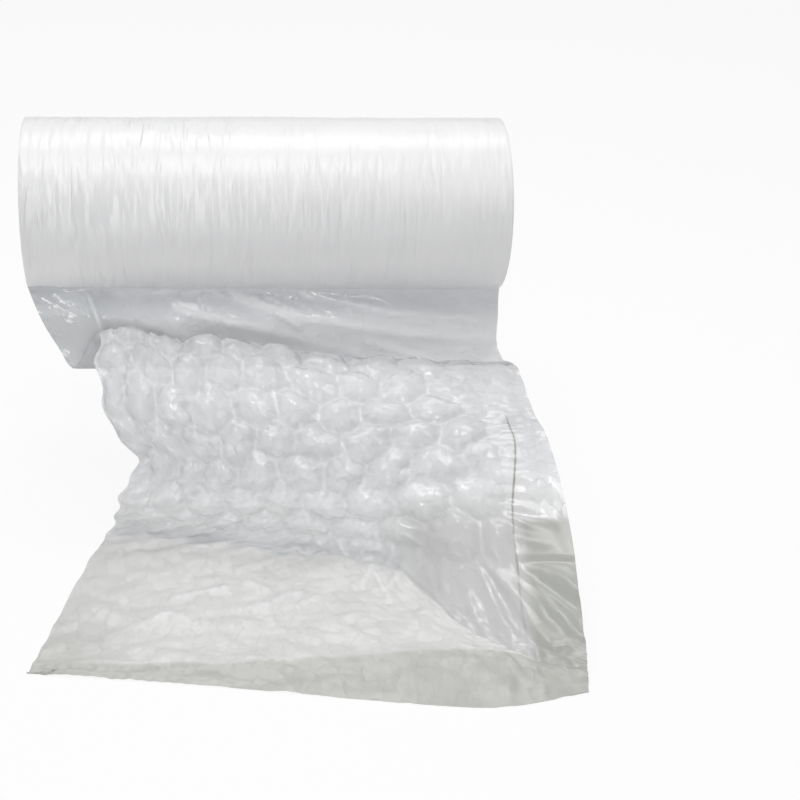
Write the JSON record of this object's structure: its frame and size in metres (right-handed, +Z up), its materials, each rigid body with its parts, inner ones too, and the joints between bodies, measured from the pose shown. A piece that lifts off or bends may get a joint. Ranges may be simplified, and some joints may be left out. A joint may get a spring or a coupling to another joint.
{
  "type": "air pillow film roll",
  "caption": "Roll of translucent air pillow film on a cardboard core, with one blown-up run of quilted cells led off the front, down to the table and spread forward.",
  "frame": {"origin": "middle of the core's bore, halfway along the roll, 240 mm above the table that the film's run lies on", "axes": "+X along the roll, to the right as the film is seen coming off; +Z up; the run of film comes forward along -Y"},
  "size_m": [0.4289, 0.458, 0.314],
  "materials": {
    "core_board": "dull spiral-wound board",
    "film": "milky translucent film with a soft sheen"
  },
  "bodies": {
    "root": {"core_tube": "core_board", "film": "film"}
  },
  "joints": []
}
